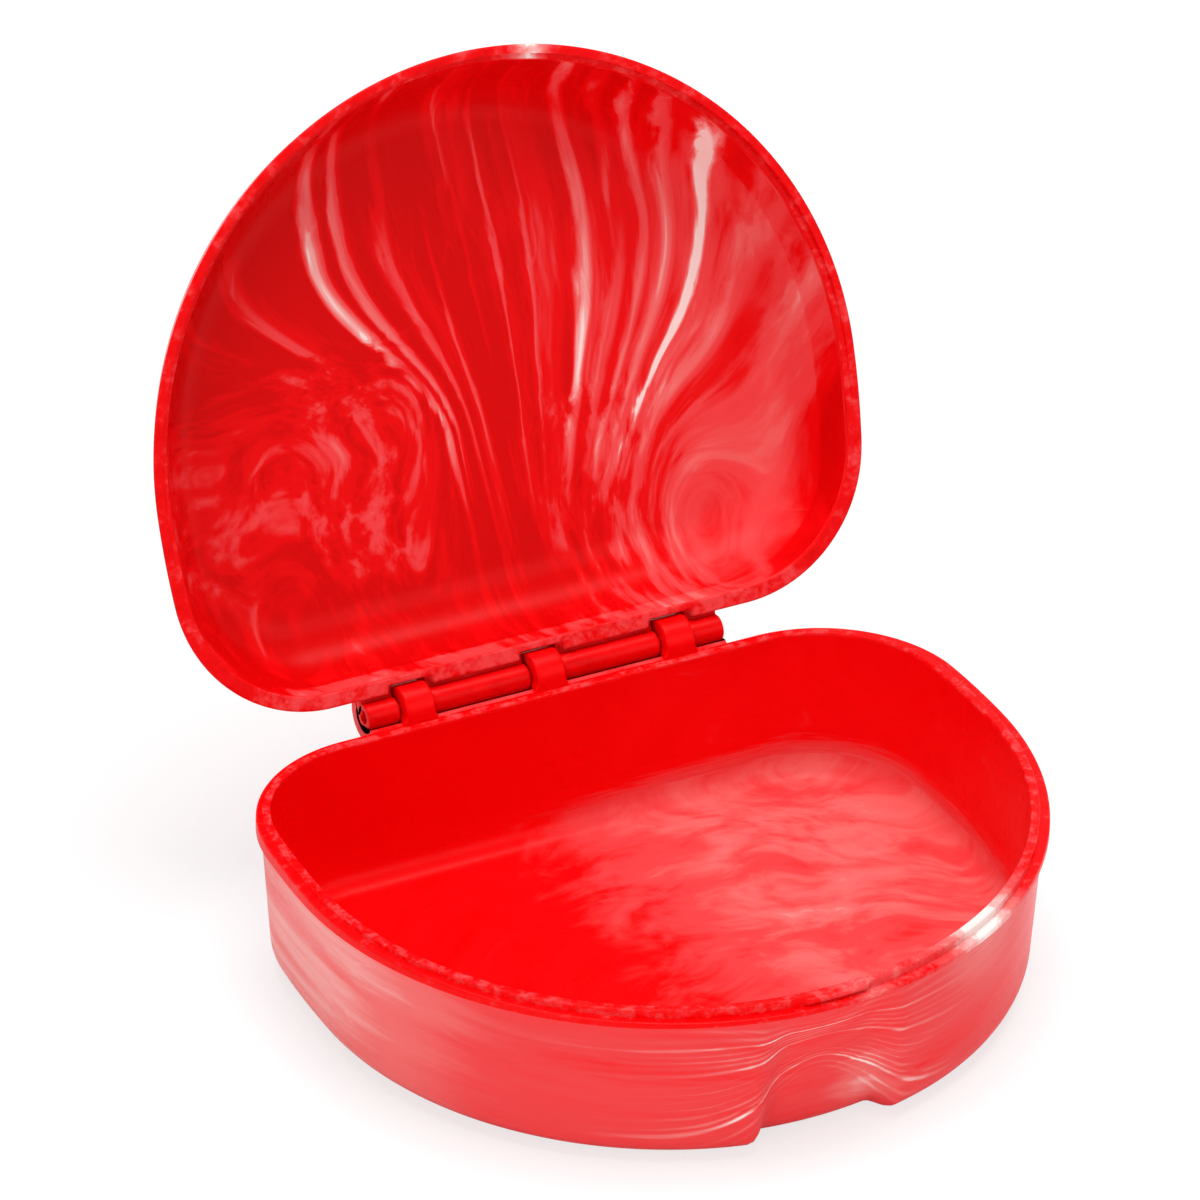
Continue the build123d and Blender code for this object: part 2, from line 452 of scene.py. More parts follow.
def tray_fields(x, y, z, part):
    """Marbling of the tray: where the noise is read, how milky each place is, with painted sheen and a
    painted highlight in that milkiness, and how streaky.

    On the outer wall the noise is read far along the wall and close up its height, so that
    streaks lie level, and the height is drawn together towards the scoop. The band lays the
    named streaks up the front wall in the same way. On the floor the noise is read along shallow
    arcs, which run on into the foot of the inner wall. The rim is mottled.
    """
    on_wall = part <= 1
    on_rim = (part == 2) | (part == 3)
    on_inside = part == 4
    pinch = 1 + 0.8 * hump(x, -1.5, 7.0) * (y < 0)
    sag = 1.3 * np.cos(x / 12.0 + 0.6)
    height = (z - 8.5) * pinch + sag
    wall_flow = np.stack([x * 0.013, y * 0.013, height * 0.17], -1)
    floor_flow = np.stack([x * 0.055, (y + 0.012 * (x - 6) ** 2) * 0.115, 0 * x + 3.1], -1)
    inside_flow = np.stack([x * 0.09, y * 0.09, z * 0.10 + 9.0], -1)
    low = ease((7.5 - z) / 4.5)
    inside_flow = inside_flow + (floor_flow - inside_flow) * low[..., None]
    rim_flow = np.stack([x * 0.34, y * 0.34, z * 0.5 + 5.0], -1)
    flow = np.select([on_wall[..., None], on_rim[..., None], on_inside[..., None]],
                     [wall_flow, rim_flow, inside_flow], floor_flow)
    right = ease((x + 14) / 32)
    pale_patch = hump(x, 20, 7) * hump(y, -26.6, 6)
    # Painted sheen: the outer wall is paler at its left end, and it is also paler at its right end.
    wall_milk_and_sheen = 0.42 + 0.36 * hump(x, -41, 8) + 0.16 * hump(x, 40, 10)
    wall_milk_and_sheen = wall_milk_and_sheen + 0.30 * pale_patch * ease((z - 8) / 8)
    wall_milk_and_sheen = wall_milk_and_sheen + 0.34 * hump(x, 4.5, 3.5) * hump(z, 5.0, 3.0) * (y < 0)
    rim_milk = 0.20 + 0.10 * (part == 3) + 0.80 * pale_patch + 0.30 * hump(x, 4, 4) * hump(y, -32, 4)
    floor_milk = 0.16 + 0.42 * right - 0.16 * hump(x, 22, 6) * hump(y, -2, 5) + 0.06 * hump(y, -20, 8)
    # Pink clouds towards the right, and a painted highlight along the foot of the inner back wall, where it
    # rounds into the floor.
    cloud_and_highlight = 0.05 + 0.12 * ease((x - 2) / 14) + 0.16 * hump(z, 4.2, 1.2) * ease((y - 10) / 10)
    inside_milk_and_highlight = cloud_and_highlight + (floor_milk - cloud_and_highlight) * low
    milk = np.select([on_wall, on_rim, on_inside], [wall_milk_and_sheen, rim_milk, inside_milk_and_highlight], floor_milk)
    streak = np.select([on_wall, on_rim, on_inside], [0.11, 0.20 - 0.1 * pale_patch, 0.04 + 0.09 * right],
                       0.10 + 0.09 * right)
    lines = np.select([on_wall, on_rim, on_inside], [0.03, 0.0, 0.0], 0.02)
    fray = np.select([on_wall, on_rim, on_inside], [0.25, 0.9, 0.6], 0.55)
    swirl = np.select([on_wall, on_rim, on_inside], [0.12, 0.5, 0.8], 0.7)
    drawn_in = hump(x, -1, 8)
    band = 26 * (z - 7.5 - 4.0 * drawn_in) / (6.5 - 4.2 * drawn_in)
    strength = (0.62 * hump(x, -8, 11) + 0.42 * hump(x, 8, 6)) * (y < 0) * on_wall
    return marbling(flow, milk, streak, lines, fray, swirl, band, strength)


def marbling(flow, milk, streak, lines, fray, swirl, band, band_strength):
    """The named fields that the marbled plastic reads."""
    return {
        "flow": flow, "milk": milk, "streak": streak, "lines": lines, "fray": fray,
        "swirl": swirl, "band": band, "band_strength": band_strength,
    }


def lid_skin_grids():
    """The lid in its shut place, from the middle of its top down over the dome and back up inside.

    The wall leans in as it rises, and the dome's round is an arc tangent to the wall and to the
    flat top. The rim face has the skirt's step, and is lifted round each lug into a notch whose
    corners ease in.
    """
    skin = Skin()

    def notch(x, y, inset):
        """Lift of the rim face: full depth at the outer edge over each lug, none further in."""
        half = notch_half + notch_ramp / 2
        at_lug = sum(ease((half - np.abs(x - place)) / notch_ramp) for place in lug_places)
        return notch_depth * at_lug * ease(1 - inset / notch_reach) * (y > 0)

    def rim_face(inset, step_share=1.0):
        """Height of the rim face at an inset: down by a share of the step, and up at the notches."""
        x, y = d_outline(*[inset] * 4)
        return lid_bottom - step_depth(y) * step_share + notch(x, y, inset)

    def domed(z, base, top, top_share, bend, lean):
        """Inset at a height: the leaning wall, and above it the round that meets the flat top."""
        rise = (z - lid_bottom) / (top - lid_bottom)
        straight = base + lean * top_share * rise
        tilt = np.arctan2(lean * top_share, top - lid_bottom)
        flat_start = base + lean * top_share + bend * np.tan((pi / 2 - tilt) / 2)
        centre = top - bend
        curved = flat_start - np.sqrt(np.clip(bend ** 2 - np.clip(z - centre, 0, None) ** 2, 0, None))
        return np.where(z > centre + bend * np.sin(tilt), curved, straight)

    def insets_at(z, base, top, top_share, bend):
        """Insets of a domed wall at a height: side, front, back and corner."""
        leans = (lid_side_lean, lid_side_lean, lid_back_lean, lid_corner_lean)
        return [domed(z, base, top, top_share, bend, lean) for lean in leans]

    def outer(z):
        """Insets of the lid's outside at a height."""
        return insets_at(z, 0.0, lid_top, 1.0, lid_round)

    outwards = shares(top_rings)
    z = lid_top + 0 * outwards
    skin.add(outer(z), z, 0, outwards)
    turn = quarter_turn(dome_rings)
    z = lid_top - lid_round * (1 - np.cos(turn))
    skin.add(outer(z), z, 0)

    # Wall down to the skirt's edge, which hangs lower towards the front and lifts at the notches
    share = np.linspace(0.08, 1, lid_wall_rings)
    top = lid_top - lid_round
    edge_z = rim_face(0) + soft_edge
    skin.add(outer(top + (lid_bottom - top) * share), top + (edge_z - top) * share[:, None], 1)
    turn = quarter_turn(edge_rings)[1:, None]
    inset = soft_edge * (1 - np.cos(turn))
    skin.add([inset] * 4, rim_face(inset) + soft_edge * (1 - np.sin(turn)), 2)

    # The skirt's underside, its inner face with the catch's groove, and the rim face inside it
    inset = np.linspace(soft_edge + edge_gap, skirt_line - ring_gap, 5)[:, None]
    skin.add([inset] * 4, rim_face(inset), 2)
    rise = np.linspace(0.04, 0.98, 16)[:, None]
    inset = skirt_line - skirt_draft / 2 + skirt_draft * rise
    x, y = d_outline(*[inset] * 4)
    height = rim_face(inset, 1 - rise)
    groove = catch_bulge(x, y, height, groove_depth, groove_half, groove_ramp, groove_half_height)
    skin.add([inset] * 4, height, 3)
    skin.y[-1] = skin.y[-1] - groove
    inset = np.linspace(skirt_line + ring_gap, lid_wall - lid_edge, 4)[:, None]
    skin.add([inset] * 4, rim_face(inset, 0.0), 3)
    turn = quarter_turn(edge_rings)[1:]
    z = lid_bottom + lid_edge * (1 - np.cos(turn))
    skin.add([lid_wall - lid_edge * (1 - np.sin(turn))] * 4, z, 3)

    # Inside wall, its round and the ceiling
    ceiling = lid_top - lid_skin
    share = 1 - lid_skin / (lid_top - tray_height)

    def inner(z):
        """Insets of the lid's inside at a height."""
        return insets_at(z, lid_wall, ceiling, share, lid_inner_round)

    z = np.linspace(lid_bottom + lid_wall_gap, ceiling - lid_inner_round, lid_wall_rings)
    skin.add(inner(z), z, 4)
    turn = np.linspace(pi / 2, 0, dome_rings)[1:]
    z = ceiling - lid_inner_round * (1 - np.cos(turn))
    skin.add(inner(z), z, 5)
    inwards = np.linspace(1, 0, middle_rings)[1:]
    z = ceiling + 0 * inwards
    skin.add(inner(z), z, 5, inwards)
    return skin.grids()


def lid_fields(x, y, z, part):
    """Marbling of the lid: plastic that flowed in at the hinge side and fanned over the dome.

    The flow line through a point is found by dividing its distance from a slightly curved
    centre line by the width of the fan there, which is narrow at the hinge, widest past the
    middle and a little narrower at the front. The fan opens later on the left. Near the hinge
    the lines break up into curls on the left, and fade on the right.
    """
    on_outside = part <= 1
    on_rim = (part == 2) | (part == 3)
    run = back_y - y
    left_fan = 0.38 + 0.64 * ease((run - 22) / 22)
    right_fan = 0.38 + 0.64 * ease((run - 8) / 34)
    to_right = ease((x + 4) / 12)
    fan = left_fan + (right_fan - left_fan) * to_right - 0.10 * ease((run - 46) / 16)
    fan = fan + (1.05 - fan) * 0.5 * ease((np.abs(x) - 20) / 16)
    centre = 5.5 - 0.07 * run
    band = (x - centre) / fan
    curl = ease((-x - 1) / 8) * ease((36 - run) / 12)
    curl_low = 0.5 * hump(x, 12, 9) * ease((26 - run) / 10)
    curl = np.clip(curl + curl_low, 0, 1)
    along = run * (0.014 + 0.075 * curl)
    flow_in = np.stack([band * (0.105 - 0.035 * curl), along, z * 0.04 + 11.0], -1)
    flow_out = np.stack([band * 0.12, run * 0.016, z * 0.03 + 21.0], -1)
    rim_flow = np.stack([x * 0.26, y * 0.26, z * 0.2 + 2.0], -1)
    flow = np.select([on_outside[..., None], on_rim[..., None]], [flow_out, rim_flow], flow_in)
    pink_side = ease((x - 4) / 14) * ease((58 - run) / 16)
    inside = 0.04 + 0.34 * pink_side + 0.20 * curl * ease((run - 4) / 10)
    # Painted shade: the inside is less milky on the left, far from the hinge, at the open lid's top.
    inside = inside - 0.10 * hump(x, -22, 12) * ease((run - 34) / 10)
    at_back = ease((y - 28.5) / 2)
    # Painted shade on the inner walls, which take 0.6 of the ceiling's milkiness, and a painted highlight on
    # them at the back, by the hinge.
    inside = np.where(part == 5, inside, 0.6 * inside + 0.03 + 0.26 * at_back)
    rim_milk = 0.25 + 0.12 * at_back + 0.75 * hump(x, 8, 1.6) * (y < 0)
    milk = np.select([on_outside, on_rim], [0.44, rim_milk], inside)
    streak = np.select([on_outside, on_rim], [0.16, 0.18], 0.26 + 0.05 * pink_side + 0.16 * curl)
    lines = np.select([on_outside, on_rim], [0.14, 0.0], 0.09 * (1 - curl) * (1 - 0.6 * pink_side))
    fray = np.select([on_outside, on_rim], [0.4, 0.8], 0.62 - 0.34 * curl)
    swirl = np.select([on_outside, on_rim], [0.3, 0.5], 0.12 + 0.85 * curl)
    strength = (1 - curl) * (0.25 + 0.75 * ease((run - 8) / 16)) * (1 - 0.35 * ease((run - 50) / 8))
    strength = np.where(on_outside | on_rim, 0.0, strength)
    return marbling(flow, milk, streak, lines, fray, swirl, band, strength)


def feed(tree, socket, value):
    """Links an input to another node's output, or sets it to a plain value."""
    if isinstance(value, bpy.types.NodeSocket):
        tree.links.new(value, socket)
    else:
        socket.default_value = value


def node(tree, kind, **sockets):
    """Shader node with its inputs fed, by name or, as i0 and i1, by number."""
    made = tree.nodes.new(kind)
    for key, value in sockets.items():
        numbered = key[0] == "i" and key[1:].isdigit()
        feed(tree, made.inputs[int(key[1:]) if numbered else key.replace("_", " ")], value)
    return made


def sums(tree, operation, first, second=0.0, clamp=False):
    """One arithmetic step."""
    made = tree.nodes.new("ShaderNodeMath")
    made.operation = operation
    made.use_clamp = clamp
    feed(tree, made.inputs[0], first)
    feed(tree, made.inputs[1], second)
    return made.outputs[0]


def field_value(tree, name, vector=False):
    """Reads a point attribute of the piece."""
    made = tree.nodes.new("ShaderNodeAttribute")
    made.attribute_name = name
    return made.outputs["Vector"] if vector else made.outputs["Fac"]


def noise(tree, place, scale, detail, rough, distortion=0.0):
    """Fractal noise about 0.5."""
    made = node(
        tree, "ShaderNodeTexNoise",
        Vector=place, Scale=scale, Detail=detail, Roughness=rough, Distortion=distortion,
    )
    return made.outputs["Fac"]


# Named streaks by their band: how far across, how wide and how milky. The band runs across the
# lid's fan, and up the tray's front wall.
streak_table = (
    (-33, 2.5, 0.22), (-26, 2.0, 0.30), (-17.0, 2.0, 0.90), (-13.4, 1.2, 0.50),
    (-9.0, 1.3, 0.42), (-4.5, 0.5, 0.32), (-0.5, 0.35, 0.28), (3.0, 0.45, 0.38),
    (6.6, 0.5, 0.30), (12.2, 1.5, 0.92), (16.0, 1.4, 0.42), (19.0, 1.0, 0.55),
    (22.2, 1.0, 0.34), (25.6, 1.1, 0.88), (30.0, 2.0, 0.34), (35.0, 2.2, 0.30),
)
streak_span = 40.0


def streak_curve(tree, position):
    """Milkiness by band: a curve that is zero but for a rounded peak at each named streak."""
    made = tree.nodes.new("ShaderNodeFloatCurve")
    line = made.mapping.curves[0]
    made.mapping.use_clip = True
    stops = [(0.0, 0.0)]
    for middle, width, height in streak_table:
        for offset, share in ((-width, 0.0), (0.0, height), (width, 0.0)):
            stops.append(((middle + offset + streak_span) / (2 * streak_span), share))
    stops.append((1.0, 0.0))
    stops.sort()
    line.points[0].location = stops[0]
    line.points[1].location = stops[-1]
    for place, height in stops[1:-1]:
        line.points.new(place, height)
    for point in line.points:
        point.handle_type = "AUTO_CLAMPED"
    made.mapping.update()
    across = sums(tree, "ADD", sums(tree, "DIVIDE", position, 2 * streak_span), 0.5, clamp=True)
    tree.links.new(across, made.inputs["Value"])
    return made.outputs["Value"]


def colour_stops(tree, value, stops):
    """Colour by a value, with the stops given as (place, colour)."""
    made = tree.nodes.new("ShaderNodeValToRGB")
    tree.links.new(value, made.inputs["Fac"])
    ramp = made.color_ramp
    ramp.interpolation = "EASE"
    while len(ramp.elements) < len(stops):
        ramp.elements.new(0.5)
    for element, (place, colour) in zip(ramp.elements, stops):
        element.position = place
        element.color = (*colour, 1)
    return made.outputs["Color"]


# How strongly each noise shows in the marbling, and the thin lines' level and width
bend_strength = 1.9
broad_strength = 3.6
fine_strength = 2.2
line_level = 0.52
line_width = 0.022
wobble_fine = 1.6
wobble_broad = 3.5
patch_strength = 2.2
patch_level = 0.85

# The plastic's surface, with the height of its relief in metres
plastic_specular = 0.06
plastic_ior = 1.49
plastic_roughness = 0.30
roughness_spread = 0.2
grain_share = 0.12
relief_strength = 0.35
relief_height = 0.00012


def marbled_plastic(name, deep_red):
    """Red plastic with milky flow streaks, read along the piece's own flow field."""
    material = bpy.data.materials.new(name)
    material.use_nodes = True
    tree = material.node_tree
    shader = tree.nodes["Principled BSDF"]
    flow = field_value(tree, "flow", vector=True)
    names = ("milk", "streak", "lines", "fray", "swirl", "band", "band_strength")
    milk, streak, lines_share, fray, swirl, band, band_strength = (field_value(tree, n) for n in names)
    object_place = node(tree, "ShaderNodeTexCoord").outputs["Object"]

    # A slow noise bends the flow
    bend = node(tree, "ShaderNodeTexNoise", Vector=object_place, Scale=70.0, Detail=1.5, Roughness=0.45)
    shift = node(tree, "ShaderNodeVectorMath", i0=bend.outputs["Color"], i1=(0.5, 0.5, 0.5))
    shift.operation = "SUBTRACT"
    scaled = node(tree, "ShaderNodeVectorMath", i0=shift.outputs["Vector"])
    scaled.operation = "SCALE"
    tree.links.new(sums(tree, "MULTIPLY", swirl, bend_strength), scaled.inputs["Scale"])
    bent = node(tree, "ShaderNodeVectorMath", i0=flow, i1=scaled.outputs["Vector"])
    bent.operation = "ADD"
    place = bent.outputs["Vector"]

    # Broad and fine streaks, about 0 on the whole
    broad = sums(tree, "SUBTRACT", noise(tree, place, 2.0, 3.0, 0.5, 0.3), 0.5)
    fine = sums(tree, "SUBTRACT", noise(tree, place, 7.0, 4.0, 0.55, 0.2), 0.5)
    broad_part = sums(tree, "MULTIPLY", broad, broad_strength)
    fine_part = sums(tree, "MULTIPLY", sums(tree, "MULTIPLY", fine, fine_strength), fray)
    mixed = sums(tree, "MULTIPLY", sums(tree, "ADD", broad_part, fine_part), streak)

    # Thin pale lines where a noise crosses a level near its middle
    line_noise = noise(tree, place, 3.4, 1.5, 0.4, 0.0)
    crest = sums(tree, "ABSOLUTE", sums(tree, "SUBTRACT", line_noise, line_level))
    thin = sums(tree, "SUBTRACT", 1.0, sums(tree, "DIVIDE", crest, line_width), clamp=True)
    line_part = sums(tree, "MULTIPLY", thin, lines_share)

    # The named streaks of the lid and of the tray's front wall, frayed by the same noises
    fine_wobble = sums(tree, "MULTIPLY", fine, wobble_fine)
    wobble = sums(tree, "ADD", fine_wobble, sums(tree, "MULTIPLY", broad, wobble_broad))
    strong = streak_curve(tree, sums(tree, "ADD", band, wobble))
    patchy = sums(tree, "ADD", sums(tree, "MULTIPLY", broad, patch_strength), patch_level, clamp=True)
    strong_part = sums(tree, "MULTIPLY", sums(tree, "MULTIPLY", strong, patchy), band_strength)

    # The milk field is the plastic's milkiness, and in places it also carries painted sheen, painted
    # highlight and painted shade.
    ground = sums(tree, "ADD", milk, mixed)
    total = sums(tree, "ADD", ground, sums(tree, "ADD", line_part, strong_part), clamp=True)
    colour = colour_stops(tree, total, (
        (0.0, (deep_red, 0.0004, 0.0010)),
        (0.24, (0.5 * (deep_red + 0.88), 0.0016, 0.0030)),
        (0.46, (0.78, 0.052, 0.056)),
        (0.68, (0.79, 0.135, 0.130)),
        (0.86, (0.82, 0.36, 0.34)),
        (1.0, (0.86, 0.68, 0.65)),
    ))
    tree.links.new(colour, shader.inputs["Base Color"])
    rough = sums(tree, "ADD", plastic_roughness, sums(tree, "MULTIPLY", fine, roughness_spread))
    tree.links.new(rough, shader.inputs["Roughness"])
    shader.inputs["Specular IOR Level"].default_value = plastic_specular
    shader.inputs["IOR"].default_value = plastic_ior

    # A moulded skin's faint grain and waviness
    grain = noise(tree, object_place, 1400.0, 3.0, 0.6)
    waves = noise(tree, object_place, 160.0, 2.0, 0.5)
    relief = sums(tree, "ADD", sums(tree, "MULTIPLY", grain, grain_share), waves)
    bump = node(tree, "ShaderNodeBump", Strength=relief_strength, Distance=relief_height, Height=relief)
    tree.links.new(bump.outputs["Normal"], shader.inputs["Normal"])
    return material


tray_plastic = marbled_plastic("tray_plastic", 0.80)
lid_plastic = marbled_plastic("lid_plastic", 0.60)

# Tray shell
x, y, z, part = tray_skin()
tray = moulded_skin("tray_shell", (x, y, z), tray_fields(x, y, z, part))
tray.data.materials.append(tray_plastic)
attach(tray, "tray")
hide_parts("base_tray")

# Lid shell
x, y, z, part = lid_skin_grids()
lid = moulded_skin("lid_shell", (x, y, z), lid_fields(x, y, z, part), turned=True)
lid.data.materials.append(lid_plastic)
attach(lid, "lid")
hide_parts("lid")


def round_bar(name, start_x, end_x, outside, bore, material, body):
    """Tube about the hinge axis: its profile goes round the bore, the end faces and softened rims.

    Each profile point is a place along the axis and a radius, carried round in a full turn.
    """
    turn = quarter_turn(edge_rings)
    rim_inset = knuckle_bevel * (1 - np.sin(turn))
    rim_radius = outside - knuckle_bevel * (1 - np.cos(turn))
    start_rim = np.stack([start_x + rim_inset, rim_radius], -1)[::-1]
    end_rim = np.stack([end_x - rim_inset, rim_radius], -1)
    barrel = np.linspace(start_x + knuckle_bevel, end_x - knuckle_bevel, 14)[1:-1]
    bore_line = np.linspace(end_x, start_x, 6)[1:-1]
    profile = np.vstack([
        [[start_x, bore]], start_rim, np.stack([barrel, 0 * barrel + outside], -1), end_rim,
        [[end_x, bore]], np.stack([bore_line, 0 * bore_line + bore], -1),
    ])
    angle = np.linspace(0, 2 * pi, bar_sides + 1)[:-1]
    count, around = len(profile), len(angle)
    px = np.repeat(profile[:, :1], around, 1)
    py = hinge_y + profile[:, 1:] * np.cos(angle)
    pz = hinge_z + profile[:, 1:] * np.sin(angle)
    row = np.arange(count)[:, None] * around
    below = (np.arange(count)[:, None] + 1) % count * around
    column = np.arange(around)[None, :]
    beside = (column + 1) % around
    faces = np.stack([row + column, row + beside, below + beside, below + column], -1).reshape(-1, 4)
    points = np.stack([px, py, pz], -1).reshape(-1, 3)
    return finish_small(name, points, faces.tolist(), material, body)


# Where the marbling's noise is read on the small pieces, how much of it shows, and how milky they are
small_flow_scale = np.array([0.16, 0.30, 0.30])
small_flow_start = np.array([3.0, 0.0, 7.0])
small_streak = 0.16
small_fray = 0.6
small_swirl = 0.4
small_milk = 0.16


def finish_small(name, points, faces, material, body, milk=small_milk):
    """Small piece of the hinge, evenly milky, turned open if it is on the lid."""
    flow = points * small_flow_scale + small_flow_start
    if body == "lid":
        points = turn_open(points)
    piece = plain_mesh(name, points, faces, small_fold)
    same = np.ones(len(points))
    set_fields(piece, marbling(
        flow, milk * same, small_streak * same, 0 * same, small_fray * same, small_swirl * same,
        0 * same, 0 * same,
    ))
    piece.data.materials.append(material)
    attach(piece, body)
    return piece


def lofted_bar(name, section, widths, middle_x, material, body, soft=0.2, milk=small_milk):
    """Bar across the hinge: a closed section carried along X, with a half width for each of its points.

    The last steps to each end draw the section in towards its middle along a quarter circle, which
    softens the edge, and then straight to a pole, which closes the end.
    """
    turn = quarter_turn(edge_rings)
    centre = section.mean(0)
    reach = np.hypot(*(section - centre).T)
    round_over = soft * (1 - np.sin(turn))
    pull = np.concatenate([[1.0], round_over, np.zeros(5), round_over[::-1], [1.0]])
    place = np.concatenate([
        [-1.0], -1.0 + 0 * turn, np.linspace(-1, 1, 7)[1:-1], 1.0 + 0 * turn, [1.0],
    ])
    back_off = np.concatenate([
        [0.0], soft * (1 - np.cos(turn)), np.full(5, 0.0), -soft * (1 - np.cos(turn[::-1])), [0.0],
    ])
    rows, count = len(place), len(section)
    shrink = np.where(np.arange(rows)[:, None] % (rows - 1) == 0, 1.0, pull[:, None] / reach[None, :])
    yz = section[None] + (centre - section)[None] * shrink[..., None]
    px = middle_x + place[:, None] * widths[None, :] + back_off[:, None]
    ends = (np.arange(rows) == 0) | (np.arange(rows) == rows - 1)
    px = np.where(ends[:, None], middle_x + place[:, None] * widths.min(), px)
    grid = np.concatenate([px[..., None], yz], -1)
    return finish_small(name, on_points(grid), ring_faces(rows, count), material, body, milk)


def arc(centre, radius, start, end, count):
    """Points of an arc in the YZ plane, angles in degrees from +Y."""
    angle = np.radians(np.linspace(start, end, count))
    return np.stack([centre[0] + radius * np.cos(angle), centre[1] + radius * np.sin(angle)], -1)


hinge = (hinge_y, hinge_z)

# Where the open lid's back and the tray's rim are, seen from the hinge axis
hinge_to_back = 1.9
stop_room = 0.1
rim_below_hinge = 0.8

# Gutter behind the tray's back wall: round outside and inside, with a softened top edge that
# stops the open lid, and a root that is sunk in the back wall
stop_angle = np.degrees(np.arccos((hinge_to_back - stop_room) / gutter_outer))
top_angle = 180 - np.degrees(open_angle) - stop_angle
gutter_middle = (gutter_inner + gutter_outer) / 2
gutter_half = (gutter_outer - gutter_inner) / 2
gutter_bottom = hinge_z - gutter_outer
gutter_soft = 0.12
gutter_milk = 0.40
rim_turn = np.radians(top_angle)
rim_centre = (hinge_y + gutter_middle * np.cos(rim_turn), hinge_z + gutter_middle * np.sin(rim_turn))
lip_angle = 180 + np.degrees(np.arcsin(rim_below_hinge / gutter_inner))
gutter_root = [
    (32.05, tray_height - 0.02), (31.45, tray_height - 0.05), (31.4, 17.5),
    (31.3, gutter_bottom), (32.6, gutter_bottom),
]
gutter_section = np.vstack([
    arc(hinge, gutter_outer, -90, top_angle - 8, 22),
    arc(rim_centre, gutter_half, top_angle + 20, top_angle + 160, 7),
    arc(hinge, gutter_inner, top_angle - 12, lip_angle - 366, 34),
    gutter_root,
])
gutter_halves = np.full(len(gutter_section), hinge_end)
lofted_bar("hinge_gutter", gutter_section, gutter_halves, 0.0, tray_plastic, "tray", gutter_soft, gutter_milk)

# Lugs that hold the pin, standing in the gutter on flared feet
lug_front = hinge_y - lug_radius
lug_foot = hinge_z - lug_radius
lug_section = np.vstack([
    arc(hinge, lug_radius, -90, 180, 40),
    [[lug_front, z] for z in np.linspace(hinge_z - 0.1, lug_foot, 14)],
    [[hinge_y - lug_radius / 2, lug_foot]],
])
above_rim = lug_section[:, 1] - tray_height
flare = ease(1 - above_rim / flare_height) * (lug_section[:, 0] < lug_front + flare_depth)
lug_halves = lug_half + foot_flare * flare
for number, place in enumerate(lug_places):
    lofted_bar(f"hinge_lug_{number + 1}", lug_section, lug_halves, place, tray_plastic, "tray")

# Knuckles of the lid and the webs that carry them
starts = [-hinge_end] + [place + lug_half + lug_gap for place in lug_places]
ends = [place - lug_half - lug_gap for place in lug_places] + [hinge_end]
web_section = np.array([
    (hinge_y - 0.2, hinge_z + web_underside), (hinge_y, hinge_z + knuckle_radius - 0.02),
    (hinge_y - 1.2, hinge_z + knuckle_radius - 0.01), (back_y - 0.7, hinge_z + knuckle_radius),
    (back_y - 0.9, hinge_z + 0.8), (back_y - 0.7, hinge_z + web_underside),
])
for number, (start, end) in enumerate(zip(starts, ends)):
    round_bar(f"hinge_knuckle_{number + 1}", start, end, knuckle_radius, knuckle_bore, lid_plastic, "lid")
    lofted_bar(
        f"hinge_web_{number + 1}", web_section, np.full(len(web_section), (end - start) / 2),
        (start + end) / 2, lid_plastic, "lid", 0.1,
    )


def pin_plastic():
    """Plain red rod: drawn lines along it, and a faint pink cast."""
    material = bpy.data.materials.new("pin_plastic")
    material.use_nodes = True
    tree = material.node_tree
    shader = tree.nodes["Principled BSDF"]
    place = node(tree, "ShaderNodeTexCoord").outputs["Object"]
    drawn = node(tree, "ShaderNodeMapping", Vector=place, Scale=(0.05, 1.0, 1.0)).outputs["Vector"]
    lines = noise(tree, drawn, 2500.0, 4.0, 0.6)
    cast = noise(tree, place, 260.0, 3.0, 0.5)
    both = sums(tree, "ADD", sums(tree, "MULTIPLY", lines, 0.5), sums(tree, "MULTIPLY", cast, 0.5))
    colour = colour_stops(tree, both, (
        (0.3, (0.66, 0.0012, 0.0020)),
        (0.7, (0.76, 0.030, 0.036)),
    ))
    tree.links.new(colour, shader.inputs["Base Color"])
    rough = sums(tree, "ADD", 0.24, sums(tree, "MULTIPLY", lines, roughness_spread))
    tree.links.new(rough, shader.inputs["Roughness"])
    bump = node(tree, "ShaderNodeBump", Strength=0.3, Distance=0.00005, Height=lines)
    tree.links.new(bump.outputs["Normal"], shader.inputs["Normal"])
    shader.inputs["Specular IOR Level"].default_value = plastic_specular
    return material


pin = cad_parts["hinge_pin"]
pin.data.materials.clear()
pin.data.materials.append(pin_plastic())


# The photograph's view, found by matching the rim, the base and the lid in it
image_size = 1200
view_azimuth = radians(-27.75)
view_elevation = radians(31.61)
view_roll = radians(1.195)
view_distance = 1381.3 * mm
view_aim = Vector((0, 0, tray_height * mm))
view_right = -9.46 * mm
view_up = 24.14 * mm
focal_pixels = 13645.8
sensor_width = 36.0


def photo_camera():
    """Camera on a sphere about the aim point, rolled, then moved in its own picture plane."""
    back = Vector((
        sin(view_azimuth) * cos(view_elevation),
        -cos(view_azimuth) * cos(view_elevation),
        sin(view_elevation),
    ))
    level_right = (-back).cross(Vector((0, 0, 1))).normalized()
    level_up = level_right.cross(-back)
    right = cos(view_roll) * level_right + sin(view_roll) * level_up
    up = cos(view_roll) * level_up - sin(view_roll) * level_right
    place = view_aim + back * view_distance + right * view_right + up * view_up
    data = bpy.data.cameras.new("camera")
    data.sensor_width = sensor_width
    data.lens = focal_pixels / image_size * sensor_width
    data.clip_start = 0.05
    data.clip_end = 20
    camera = bpy.data.objects.new("camera", data)
    scene.collection.objects.link(camera)
    turn = Matrix((right, up, back)).transposed().to_4x4()
    camera.matrix_world = Matrix.Translation(place) @ turn
    scene.camera = camera


photo_camera()


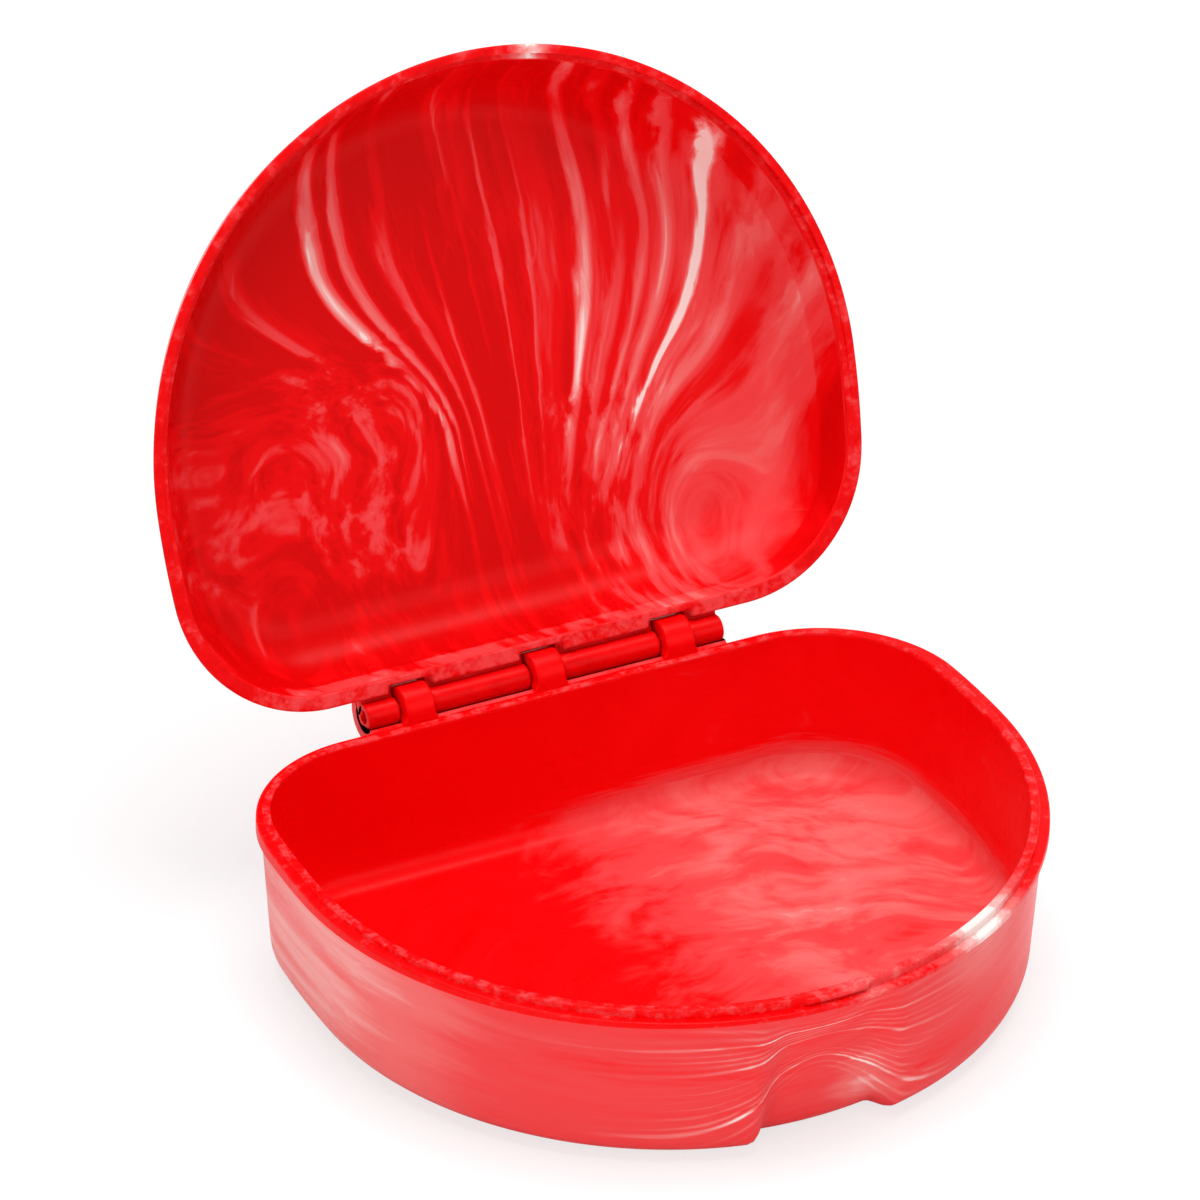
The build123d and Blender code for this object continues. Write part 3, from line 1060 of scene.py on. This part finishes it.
def softbox(name, place, target, size, power):
    """Square soft lamp aimed at a point."""
    data = bpy.data.lights.new(name, "AREA")
    data.shape = "SQUARE"
    data.size = size
    data.energy = power
    lamp = bpy.data.objects.new(name, data)
    scene.collection.objects.link(lamp)
    lamp.location = place
    lamp.rotation_euler = (Vector(target) - Vector(place)).to_track_quat("-Z", "Y").to_euler()


softbox("overhead_softbox", place=(0.05, 0.05, 0.85), target=(0, 0, 0.03), size=0.6, power=7.8)
softbox("front_left_softbox", place=(-0.70, -0.50, 0.30), target=(0, 0, 0.03), size=0.45, power=2.2)
softbox("front_right_softbox", place=(0.45, -0.75, 0.45), target=(0, 0, 0.05), size=0.5, power=1.4)

# The world lights the object plainly, and is seen as white
world_strength = 0.34

world = bpy.data.worlds.new("studio")
scene.world = world
world.use_nodes = True
sky = world.node_tree
plain_light = sky.nodes["Background"]
plain_light.inputs["Color"].default_value = (1, 1, 1, 1)
plain_light.inputs["Strength"].default_value = world_strength
white = node(sky, "ShaderNodeBackground", Color=(1, 1, 1, 1), Strength=1.0)
ray = node(sky, "ShaderNodeLightPath")
shown = sums(sky, "MAXIMUM", ray.outputs["Is Camera Ray"], ray.outputs["Is Glossy Ray"])
shown = sums(sky, "MAXIMUM", shown, ray.outputs["Is Transmission Ray"])
choice = node(sky, "ShaderNodeMixShader")
sky.links.new(shown, choice.inputs["Fac"])
sky.links.new(plain_light.outputs["Background"], choice.inputs[1])
sky.links.new(white.outputs["Background"], choice.inputs[2])
sky.links.new(choice.outputs["Shader"], sky.nodes["World Output"].inputs["Surface"])


# The table: half its width in metres, its cells along that width, and its gap below the tray in
# millimetres. The camera sees it as this share of plain white, and the rest keeps the shadow.
table_half = 1.0
table_cells = 8
table_gap = 0.02
table_white_share = 0.72


def table_top():
    """Flat white table, a grid of 2 m, with a faint fine mottling."""
    line = np.linspace(-table_half, table_half, table_cells + 1) / mm
    gx, gy = np.meshgrid(line, line)
    points = np.stack([gx.ravel(), gy.ravel(), 0 * gx.ravel() - table_gap], -1)
    row = np.arange(table_cells)[:, None] * (table_cells + 1)
    near = row + np.arange(table_cells)[None, :]
    far = near + table_cells + 1
    faces = np.stack([near, near + 1, far + 1, far], -1).reshape(-1, 4)
    table = plain_mesh("table", points, faces.tolist())
    material = bpy.data.materials.new("white_table")
    material.use_nodes = True
    tree = material.node_tree
    shader = tree.nodes["Principled BSDF"]
    place = node(tree, "ShaderNodeTexCoord").outputs["Object"]
    mottle = noise(tree, place, 40.0, 3.0, 0.5)
    pale = colour_stops(tree, mottle, ((0.3, (0.93, 0.93, 0.93)), (0.7, (0.96, 0.96, 0.96))))
    tree.links.new(pale, shader.inputs["Base Color"])
    shader.inputs["Roughness"].default_value = 0.7
    white = node(tree, "ShaderNodeEmission", Color=(1, 1, 1, 1), Strength=1.0)
    ray = node(tree, "ShaderNodeLightPath")
    seen = sums(tree, "MAXIMUM", ray.outputs["Is Camera Ray"], ray.outputs["Is Transmission Ray"])
    choice = node(tree, "ShaderNodeMixShader", Fac=sums(tree, "MULTIPLY", seen, table_white_share))
    tree.links.new(shader.outputs["BSDF"], choice.inputs[1])
    tree.links.new(white.outputs["Emission"], choice.inputs[2])
    tree.links.new(choice.outputs["Shader"], tree.nodes["Material Output"].inputs["Surface"])
    table.data.materials.append(material)


table_top()

scene.view_settings.view_transform = "Standard"
